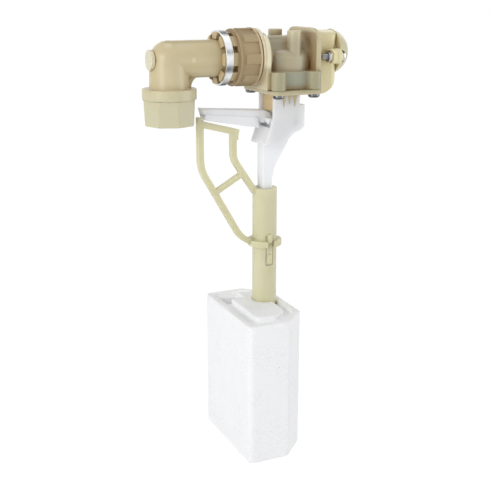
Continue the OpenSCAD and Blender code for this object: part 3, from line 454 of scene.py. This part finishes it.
nutLook = dict(elbowLook, tone=(174, 153, 117), toneTwo=(161, 140, 105), corner=(124, 94, 58), cornerShadeShare=0.6,
               # lighter towards both ends; at the right rim this is painted light over the dark gap to the body's ring
               fades=[(0, 0.0437, 0.0400, (200, 180, 138)), (0, 0.0570, 0.0580, (206, 182, 142))], patches=[],
               glow=0.12, gloss=(0.34, 0.46))
del nutLook["partingAxis"]
pilotLook = dict(nutLook, tone=(222, 198, 150), toneTwo=(214, 188, 138), corner=(206, 174, 118), cornerShadeShare=0.3,
                 fades=[], glow=0.3)
whiteLook = {
    "tone": (241, 242, 244), "toneTwo": (237, 238, 241), "corner": (236, 237, 240),
    "cloudScale": 40.0, "cornerShadeReach": 0.008, "cornerShadeShare": 0.4,
    "partingAxis": 1, "partingAt": 0.0,
    "grainScale": 800.0, "gloss": (0.32, 0.45), "grain": 0.04,
    "glow": 0.6, "glowReach": (0.008, 0.008, 0.0082),
}
creamLook = {
    "tone": (219, 215, 180), "toneTwo": (212, 207, 170), "corner": (196, 188, 142),
    "cloudScale": 38.0, "cornerShadeReach": 0.007, "cornerShadeShare": 0.45, "flow": (1, 1, 0.12),
    "partingAxis": 1, "partingAt": 0.0,
    "grainScale": 700.0, "gloss": (0.28, 0.40), "grain": 0.06,
    "glow": 0.4, "glowReach": (0.005, 0.0045, 0.003),
    # painted light in the slits round the latch tongue, which would otherwise show dark
    "patches": [(((0.0665, -0.0079, -0.1050), (0.0735, -0.0030, -0.0815), 0.0001), (255, 252, 228), 1.0)],
}

foamLook = {
    "skin": (253, 253, 253), "seam": (238, 238, 246), "speck": (150, 148, 142),
    "bead": 330.0, "seamWidth": 0.16, "seamShare": (0.1, 0.6),
    "cloudScale": 60.0, "cloudDetail": 3.0, "cloudSpan": (0.35, 0.7),
    "dustScale": 420.0, "dustDetail": 1.0, "dustSpan": (0.79, 0.81), "dustShare": 0.6, "rough": 0.85, "specular": 0.25,
    "glow": 0.45, "glowReach": (0.005, 0.005, 0.0052), "fineScale": 1500.0, "fineShare": 0.25,
    "bump": 0.32, "bumpReach": 0.0002,
}


def foamFinish(look):
    # moulded bead foam: cells pressed flat at the skin, with seams, a fine grain and a little dust
    material, tree, shader = startFinish("beadFoam")
    here = objectPlace(tree)
    cells = tree.nodes.new("ShaderNodeTexVoronoi")
    cells.feature = "DISTANCE_TO_EDGE"
    cells.inputs["Scale"].default_value = look["bead"]
    tree.links.new(here, cells.inputs["Vector"])
    seam = mapRange(tree, cells.outputs["Distance"], 0.0, look["seamWidth"], 0.0, 1.0)
    cloud = noise(tree, here, look["cloudScale"], look["cloudDetail"])
    soft = mapRange(tree, cloud, *look["cloudSpan"], *look["seamShare"])
    seamShare = times(tree, mapRange(tree, seam, 0.0, 1.0, 1.0, 0.0), soft)
    tone = mixColour(tree, seamShare, srgb(*look["skin"]), srgb(*look["seam"]))
    dust = noise(tree, here, look["dustScale"], look["dustDetail"])
    dust = mapRange(tree, dust, *look["dustSpan"], 0.0, look["dustShare"])
    tone = mixColour(tree, dust, tone, srgb(*look["speck"]))
    tree.links.new(tone, shader.inputs["Base Color"])
    shader.inputs["Roughness"].default_value = look["rough"]
    shader.inputs["Specular IOR Level"].default_value = look["specular"]
    shader.inputs["Subsurface Weight"].default_value = look["glow"]
    shader.inputs["Subsurface Radius"].default_value = look["glowReach"]
    fine = noise(tree, here, look["fineScale"])
    height = maths(tree, "ADD", times(tree, fine, look["fineShare"]), seam)
    bump(tree, shader, height, look["bump"], look["bumpReach"])
    return material


drawn = {  # what all the metals share
    "markScale": 900.0, "markDetail": 3.0, "markRough": 0.65, "markSpan": (0.3, 0.7),
    "cloudScale": 160.0, "cloudSpan": (0.3, 0.75), "bumpReach": 0.00008,
}


def steelFinish(name, look):
    # drawn metal: fine marks along the run and a slight cloud in the tone
    material, tree, shader = startFinish(name)
    marks = noise(tree, objectPlace(tree, look["run"]), drawn["markScale"], drawn["markDetail"], drawn["markRough"])
    cloud = noise(tree, objectPlace(tree), drawn["cloudScale"])
    tree.links.new(twoTone(tree, cloud, look, drawn["cloudSpan"]), shader.inputs["Base Color"])
    tree.links.new(mapRange(tree, marks, *drawn["markSpan"], *look["gloss"]), shader.inputs["Roughness"])
    shader.inputs["Metallic"].default_value = 1.0
    bump(tree, shader, marks, look["marks"], drawn["bumpReach"])
    return material


rubberLook = {
    "tone": (34, 34, 34), "toneTwo": (52, 51, 50), "grainScale": 1400.0, "grainDetail": 3.0, "grainSpan": (0.3, 0.7),
    "gloss": (0.55, 0.75), "bump": 0.15, "bumpReach": 0.0001,
}


def rubberFinish(look):
    material, tree, shader = startFinish("blackRubber")
    grain = noise(tree, objectPlace(tree), look["grainScale"], look["grainDetail"])
    tree.links.new(twoTone(tree, grain, look, look["grainSpan"]), shader.inputs["Base Color"])
    tree.links.new(mapRange(tree, grain, *look["grainSpan"], *look["gloss"]), shader.inputs["Roughness"])
    bump(tree, shader, grain, look["bump"], look["bumpReach"])
    return material


elbowPlastic = mouldedFinish("elbowPlastic", elbowLook)
bodyPlastic = mouldedFinish("bodyPlastic", bodyLook)
outletPlastic = mouldedFinish("outletPlastic", outletLook)
plugPlastic = mouldedFinish("plugPlastic", plugLook)
nutPlastic = mouldedFinish("nutPlastic", nutLook)
pilotPlastic = mouldedFinish("pilotPlastic", pilotLook)
whitePlastic = mouldedFinish("whitePlastic", whiteLook)
creamPlastic = mouldedFinish("creamPlastic", creamLook)
foamSkin = foamFinish(foamLook)
bandSteel = steelFinish("bandSteel", {"tone": (224, 226, 228), "toneTwo": (242, 243, 244), "gloss": (0.27, 0.35),
                                      "marks": 0.02, "run": (1, 0.08, 0.08)})
# the cover screws get a darker copy of the steel: painted shade standing in for the dark surroundings their heads
# reflect
shadedScrewSteel = steelFinish("shadedScrewSteel", {"tone": (98, 99, 102), "toneTwo": (130, 131, 134), "gloss": (0.08, 0.16),
                                        "marks": 0.04, "run": (1, 1, 1)})
boltSteel = steelFinish("boltSteel", {"tone": (176, 177, 180), "toneTwo": (202, 203, 206), "gloss": (0.10, 0.20),
                                      "marks": 0.04, "run": (1, 1, 1)})
seatBrass = steelFinish("seatBrass", {"tone": (196, 160, 88), "toneTwo": (210, 176, 104), "gloss": (0.22, 0.34),
                                      "marks": 0.05, "run": (1, 1, 0.2)})
sealRubber = rubberFinish(rubberLook)
print("finishes mixed")


# moulded pieces, taken from the frame and given round edges
mouldings = {  # node: piece name, body, slot, finish, edge radius in mm, segments
    "inlet_elbow": ("elbowMoulding", "elbow", "beige_plastic", elbowPlastic, 0.55, 3),
    "elbow_plug": ("plugMoulding", "elbow", "pale_plastic", plugPlastic, 0.5, 3),
    "union_nut": ("nutMoulding", "union", "tan_plastic", nutPlastic, 0.3, 2),
    "clamp_band": ("bandRing", "union", "steel", bandSteel, 0.25, 3),
    "valve_body": ("bodyMoulding", "valve", "beige_plastic", bodyPlastic, 0.5, 3),
    "base_cover": ("coverMoulding", "valve", "beige_plastic", bodyPlastic, 0.5, 3),
    "diaphragm": ("membraneSheet", "valve", "rubber", sealRubber, 0.3, 2),
    "pilot_housing": ("pilotMoulding", "valve", "tan_plastic", pilotPlastic, 0.25, 2),
    "guide_bracket": ("bracketMoulding", "valve", "white_plastic", whitePlastic, 0.3, 2),
    "lever_arm": ("leverMoulding", "lever", "white_plastic", whitePlastic, 0.35, 2),
    "carriage": ("carriageMoulding", "float", "cream_plastic", creamPlastic, 0.4, 3),
    "float_block": ("floatFoam", "float", "foam", foamSkin, 1.1, 3),
    "float_retainer": ("retainerCap", "float", "cream_plastic", creamPlastic, 0.5, 3),
    "outlet_chamber": ("chamberMoulding", "valve", "beige_plastic", outletPlastic, 0.35, 3),
    "outlet_flange": ("capMoulding", "valve", "beige_plastic", outletPlastic, 0.35, 3),
}
bevelRule = {
    "flat": 0.6,  # neighbours that meet under this angle become one face
    "angle": 28.0, "thinnest": 0.15,  # edges beside a sliver narrower than this stay as they are
    "smooth": 50, "weight": 60,
    "crisp": {"carriage": ((66.8, -12.6, -104.8), (73.2, -2.0, -81.4))},  # the slits round the latch tongue
}


def copyOfNode(nodeName, pieceName):
    mesh = nodes[nodeName].data.copy()
    piece = bpy.data.objects.new(pieceName, mesh)
    bpy.context.scene.collection.objects.link(piece)
    editAll(piece)
    bpy.ops.mesh.customdata_custom_splitnormals_clear()
    bpy.ops.mesh.remove_doubles(threshold=weld["usual"])
    bpy.ops.mesh.dissolve_limited(angle_limit=math.radians(bevelRule["flat"]))
    leaveEdit()
    return piece


def wantsRounding(edge, crisp):
    if len(edge.link_faces) != 2 or edge.calc_face_angle(0.0) < math.radians(bevelRule["angle"]):
        return False
    middle = (edge.verts[0].co + edge.verts[1].co) / 2 / mm
    if crisp and all(crisp[0][axis] < middle[axis] < crisp[1][axis] for axis in range(3)):
        return False
    narrow = min(face.calc_area() for face in edge.link_faces) / max(edge.calc_length(), 1e-9)
    return narrow > bevelRule["thinnest"] * mm


def roundEdges(piece, radius, segments, crisp):
    editAll(piece)
    selectBy(piece, "EDGE", lambda edge: wantsRounding(edge, crisp))
    bpy.ops.transform.edge_bevelweight(value=1.0)
    leaveEdit()
    applyModifier(piece, "BEVEL", width=radius * mm, segments=segments, limit_method="WEIGHT",
                  use_clamp_overlap=False, loop_slide=False, miter_outer="MITER_ARC")
    smooth(piece, bevelRule["smooth"])
    applyModifier(piece, "WEIGHTED_NORMAL", mode="FACE_AREA", weight=bevelRule["weight"], keep_sharp=True)


inletThread = {"wall": 13.32, "root": 13.2, "crest": 12.06, "pitch": 1.814, "low": 0.35, "high": 13.4, "skin": 0.1,
               "around": 72, "boreFrom": 11.9, "boreTo": 12.2, "boreDeep": 13.6}


def openSocket(piece):
    # the bore's wall steps back to make room for the cut thread
    editAll(piece)
    selectBy(piece, "VERT", lambda point: point.co.z < inletThread["boreDeep"] * mm
             and inletThread["boreFrom"] * mm < math.hypot(point.co.x, point.co.y) < inletThread["boreTo"] * mm)
    grow = inletThread["wall"] / inletThread["crest"]
    bpy.ops.transform.resize(value=(grow, grow, 1), center_override=(0, 0, 0))
    leaveEdit()


made = {}
for nodeName, (pieceName, body, slot, finish, radius, segments) in mouldings.items():
    piece = copyOfNode(nodeName, pieceName)
    if nodeName == "inlet_elbow":
        openSocket(piece)
    roundEdges(piece, radius, segments, bevelRule["crisp"].get(nodeName))
    made[nodeName] = hand(piece, pieceName, body, slot, finish, nodeName)
    print("moulding", pieceName, len(piece.data.polygons))


seedSize = 0.2


def chainAt(start, steps):
    # a string of points, drawn by extruding one point step by step
    clearSelection()
    bpy.ops.mesh.primitive_plane_add(size=seedSize * mm)
    piece = bpy.context.object
    bpy.ops.object.mode_set(mode="EDIT")
    bpy.ops.mesh.select_mode(type="VERT")
    bpy.ops.mesh.select_all(action="SELECT")
    bpy.ops.mesh.merge(type="CENTER")
    bpy.ops.transform.translate(value=[v * mm for v in start])
    for step in steps:
        bpy.ops.mesh.extrude_vertices_move(TRANSFORM_OT_translate={"value": [v * mm for v in step]})
    leaveEdit()
    return piece


tooth = {"lead": 1.2, "foot": 0.14, "flank": 0.33, "crest": 0.2,  # in pitches
         "spareTurns": 2, "smooth": 40}


def threadAbout(root, crest, pitch, low, high, skin, around):
    # one tooth of the thread, wound about Z and trimmed to its length
    deep = crest - root
    foot, flank, top = (tooth[part] * pitch for part in ("foot", "flank", "crest"))
    piece = chainAt((root, 0, low - tooth["lead"] * pitch),
                    [(0, 0, foot), (deep, 0, flank), (0, 0, top), (-deep, 0, flank)])
    turns = math.ceil((high - low) / pitch) + tooth["spareTurns"]
    applyModifier(piece, "SCREW", axis="Z", angle=math.tau, screw_offset=pitch * mm, iterations=turns,
                  steps=around, render_steps=around, use_merge_vertices=True)
    editAll(piece)
    bpy.ops.mesh.remove_doubles(threshold=weld["usual"])
    bpy.ops.mesh.bisect(plane_co=(0, 0, high * mm), plane_no=(0, 0, 1), clear_outer=True)
    bpy.ops.mesh.select_all(action="SELECT")
    bpy.ops.mesh.bisect(plane_co=(0, 0, low * mm), plane_no=(0, 0, 1), clear_inner=True)
    leaveEdit()
    applyModifier(piece, "SOLIDIFY", thickness=skin * mm, offset=0.0)
    outward(piece)
    smooth(piece, tooth["smooth"])
    return piece


thread = threadAbout(inletThread["root"], inletThread["crest"], inletThread["pitch"], inletThread["low"],
                     inletThread["high"], inletThread["skin"], inletThread["around"])
hand(thread, "inletThread", "elbow", "beige_plastic", elbowPlastic)
print("inlet thread", len(thread.data.polygons))


def plainRod(radius, low, high, around=40, lip=0.0):
    # a round rod along Z, with a broken edge at its lower end if lip is given
    clearSelection()
    bpy.ops.mesh.primitive_cylinder_add(vertices=around, radius=radius * mm, depth=(high - low) * mm,
                                        location=(0, 0, (low + high) / 2 * mm))
    piece = bpy.context.object
    settle(piece)
    if lip:
        editAll(piece)
        selectEnd(piece, -1)
        bpy.ops.mesh.bevel(offset=lip * mm, segments=1, affect="EDGES")
        leaveEdit()
    return piece


coneSides = 64
hexTurn = math.radians(30)


def coneTool(nearRadius, near, farRadius, far):
    # a cone between two heights, as a cutter
    clearSelection()
    low, high = min(near, far), max(near, far)
    lowRadius, highRadius = (nearRadius, farRadius) if near < far else (farRadius, nearRadius)
    bpy.ops.mesh.primitive_cone_add(vertices=coneSides, radius1=lowRadius * mm, radius2=highRadius * mm,
                                    depth=(high - low) * mm, location=(0, 0, (low + high) / 2 * mm))
    tool = bpy.context.object
    settle(tool)
    return tool


def hexBlock(flats, low, high):
    # six-sided block with corners on X
    clearSelection()
    bpy.ops.mesh.primitive_cylinder_add(vertices=6, radius=flats / 2 / math.cos(hexTurn) * mm,
                                        depth=(high - low) * mm, location=(0, 0, (low + high) / 2 * mm),
                                        rotation=(0, 0, hexTurn))
    piece = bpy.context.object
    settle(piece)
    return piece


crown = {"inset": 0.12, "drop": 3.0, "slope": 1.73}
brokenEdge = {"segments": 2, "angle": 25}


def crownCorners(piece, flats, end, away):
    # turns the corners off at one end, as on a machined hexagon
    rim = flats / 2 - crown["inset"]
    cutWith(piece, coneTool(rim, end, rim + crown["drop"] * crown["slope"], end - crown["drop"] * away), "INTERSECT")


def breakEdges(piece, width):
    applyModifier(piece, "BEVEL", width=width * mm, segments=brokenEdge["segments"], limit_method="ANGLE",
                  angle_limit=math.radians(brokenEdge["angle"]))


def spread(pattern, name, places, turn=(0, 0, 0)):
    # copies of one model at several places, joined into one piece
    copies = []
    for place in places:
        copy = bpy.data.objects.new(name, pattern.data.copy())
        bpy.context.scene.collection.objects.link(copy)
        copy.location = [v * mm for v in place]
        copy.rotation_euler = turn
        copies.append(copy)
    bpy.data.objects.remove(pattern, do_unlink=True)
    joinTo(copies[0], copies[1:])
    settle(copies[0])
    return copies[0]


alongX = (0, math.radians(90), 0)
lugBolt = {"flats": 7.0, "head": 2.8, "radius": 2.0, "length": 14.2, "plain": 4.0, "pitch": 0.7, "core": 1.62,
           "crest": 1.98, "edge": 0.12, "tip": 0.35, "skin": 0.06, "overlap": 0.2, "runOut": 0.1, "around": 32,
           "smooth": 34, "places": [(116.9, -19.0, 42.5), (116.9, 19.0, 42.5)]}


def makeBolts():
    look = lugBolt
    head = hexBlock(look["flats"], 0.0, look["head"])
    crownCorners(head, look["flats"], look["head"], 1)
    breakEdges(head, look["edge"])
    shank = plainRod(look["radius"], -look["plain"], look["overlap"])
    core = plainRod(look["core"], -look["length"], -look["plain"] + look["overlap"], look["around"], look["tip"])
    screwed = threadAbout(look["core"], look["crest"], look["pitch"], -look["length"] + look["tip"],
                          -look["plain"] + look["runOut"], look["skin"], look["around"])
    joinTo(head, [shank, core, screwed])
    smooth(head, look["smooth"])
    return spread(head, "lugBolts", look["places"], alongX)


hand(makeBolts(), "lugBolts", "valve", "steel", boltSteel, "flange_bolts")

lugNut = {"flats": 7.0, "height": 3.2, "bore": 2.05, "edge": 0.1, "sinkWide": 0.45, "sinkTip": 0.2, "sinkDeep": 0.64,
          "past": 0.01, "through": 1.0, "smooth": 34, "places": [(107.0, -19.0, 42.5), (107.0, 19.0, 42.5)]}


def makeNuts():
    look = lugNut
    nut = hexBlock(look["flats"], 0.0, look["height"])
    crownCorners(nut, look["flats"], look["height"], 1)
    crownCorners(nut, look["flats"], 0.0, -1)
    cutWith(nut, plainRod(look["bore"], -look["through"], look["height"] + look["through"]))
    wide, tip = look["bore"] + look["sinkWide"], look["bore"] - look["sinkTip"]
    cutWith(nut, coneTool(wide, -look["past"], tip, look["sinkDeep"]))
    cutWith(nut, coneTool(wide, look["height"] + look["past"], tip, look["height"] - look["sinkDeep"]))
    breakEdges(nut, look["edge"])
    smooth(nut, look["smooth"])
    return spread(nut, "lugNuts", look["places"], alongX)


hand(makeNuts(), "lugNuts", "valve", "steel", boltSteel, "flange_nuts")
print("lug bolts and nuts made")

coverScrew = {"head": 4.0, "tall": 2.6, "around": 56, "rounding": 1.5, "roundSteps": 6, "shoulder": 0.2,
              "shoulderSteps": 2, "slotWidth": 0.9, "slotReach": 2.3, "slotDeep": 1.5, "slotPast": 1.0,
              "slotTaper": 0.55, "slotTurns": (20, 110), "core": 1.62, "crest": 1.98, "pitch": 0.7, "length": 11.5,
              "overlap": 0.4, "coreSides": 32, "threadFrom": 0.3, "tip": 0.5, "skin": 0.06, "threadSides": 28,
              "smooth": 34,
              "places": [(69.3, -22.0, 18.5), (69.3, 22.0, 18.5), (95.9, -22.0, 18.5), (95.9, 22.0, 18.5)]}


def makeScrews():
    # pan head below the cover with a cross recess, and a threaded shank up into the boss
    look = coverScrew
    clearSelection()
    bpy.ops.mesh.primitive_cylinder_add(vertices=look["around"], radius=look["head"] * mm, depth=look["tall"] * mm,
                                        location=(0, 0, -look["tall"] / 2 * mm))
    head = bpy.context.object
    settle(head)
    editAll(head)
    selectEnd(head, -1)
    bpy.ops.mesh.bevel(offset=look["rounding"] * mm, segments=look["roundSteps"], profile=0.5, affect="EDGES")
    selectEnd(head, 1)
    bpy.ops.mesh.bevel(offset=look["shoulder"] * mm, segments=look["shoulderSteps"], affect="EDGES")
    leaveEdit()
    for turn in look["slotTurns"]:
        clearSelection()
        middle = look["slotDeep"] / 2 - look["tall"] - look["slotPast"] / 2
        bpy.ops.mesh.primitive_cube_add(size=1, location=(0, 0, middle * mm), rotation=(0, 0, math.radians(turn)))
        blade = bpy.context.object
        blade.scale = (2 * look["slotReach"] * mm, look["slotWidth"] * mm, (look["slotDeep"] + look["slotPast"]) * mm)
        settle(blade)
        editAll(blade)
        selectEnd(blade, 1)
        bpy.ops.transform.resize(value=(look["slotTaper"], look["slotTaper"], 1), center_override=(0, 0, 0))
        leaveEdit()
        cutWith(head, blade)
    core = plainRod(look["core"], -look["overlap"], look["length"], look["coreSides"])
    screwed = threadAbout(look["core"], look["crest"], look["pitch"], look["threadFrom"], look["length"] - look["tip"],
                          look["skin"], look["threadSides"])
    joinTo(head, [core, screwed])
    smooth(head, look["smooth"])
    return spread(head, "coverScrews", look["places"])


hand(makeScrews(), "coverScrews", "valve", "steel", shadedScrewSteel, "cover_screws")
print("cover screws made")

discSpring = {"centre": (82.6, 0.0), "radius": 3.4, "wire": 0.4, "turns": 4, "low": 12.45, "high": 21.05,
              "wireSides": 14, "steps": 40, "smooth": 50}


def makeSpring():
    look = discSpring
    clearSelection()
    bpy.ops.mesh.primitive_circle_add(vertices=look["wireSides"], radius=look["wire"] * mm,
                                      location=(look["radius"] * mm, 0, 0), rotation=(math.radians(90), 0, 0))
    wire = bpy.context.object
    settle(wire)
    pitch = (look["high"] - look["low"]) / look["turns"]
    applyModifier(wire, "SCREW", axis="Z", angle=math.tau, screw_offset=pitch * mm, iterations=look["turns"],
                  steps=look["steps"], render_steps=look["steps"], use_merge_vertices=True)
    editAll(wire)
    bpy.ops.mesh.remove_doubles(threshold=weld["usual"])
    bpy.ops.mesh.select_all(action="DESELECT")
    bpy.ops.mesh.select_mode(type="EDGE")
    bpy.ops.mesh.select_non_manifold()
    bpy.ops.mesh.fill_holes(sides=0)
    leaveEdit()
    outward(wire)
    smooth(wire, look["smooth"])
    wire.location = (look["centre"][0] * mm, look["centre"][1] * mm, look["low"] * mm)
    settle(wire)
    return wire


spring = hand(makeSpring(), "closingSpring", "valve", "steel", boltSteel, "disc_spring")
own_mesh(spring)
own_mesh(made["diaphragm"])
print("spring wound")

# the nodes that stay as they are get their finish
inner = {
    "socket_gasket": sealRubber, "spigot_oring": sealRubber, "plunger_seal": sealRubber,
    "chamber_gasket": sealRubber, "outlet_oring": sealRubber, "inlet_strainer": whitePlastic,
    "valve_disc": whitePlastic, "pilot_plunger": whitePlastic, "lever_pin": boltSteel, "pilot_seat": seatBrass,
}
for nodeName, finish in inner.items():
    nodes[nodeName].data.materials.clear()
    nodes[nodeName].data.materials.append(finish)
print("inner nodes finished")

makeStudio()
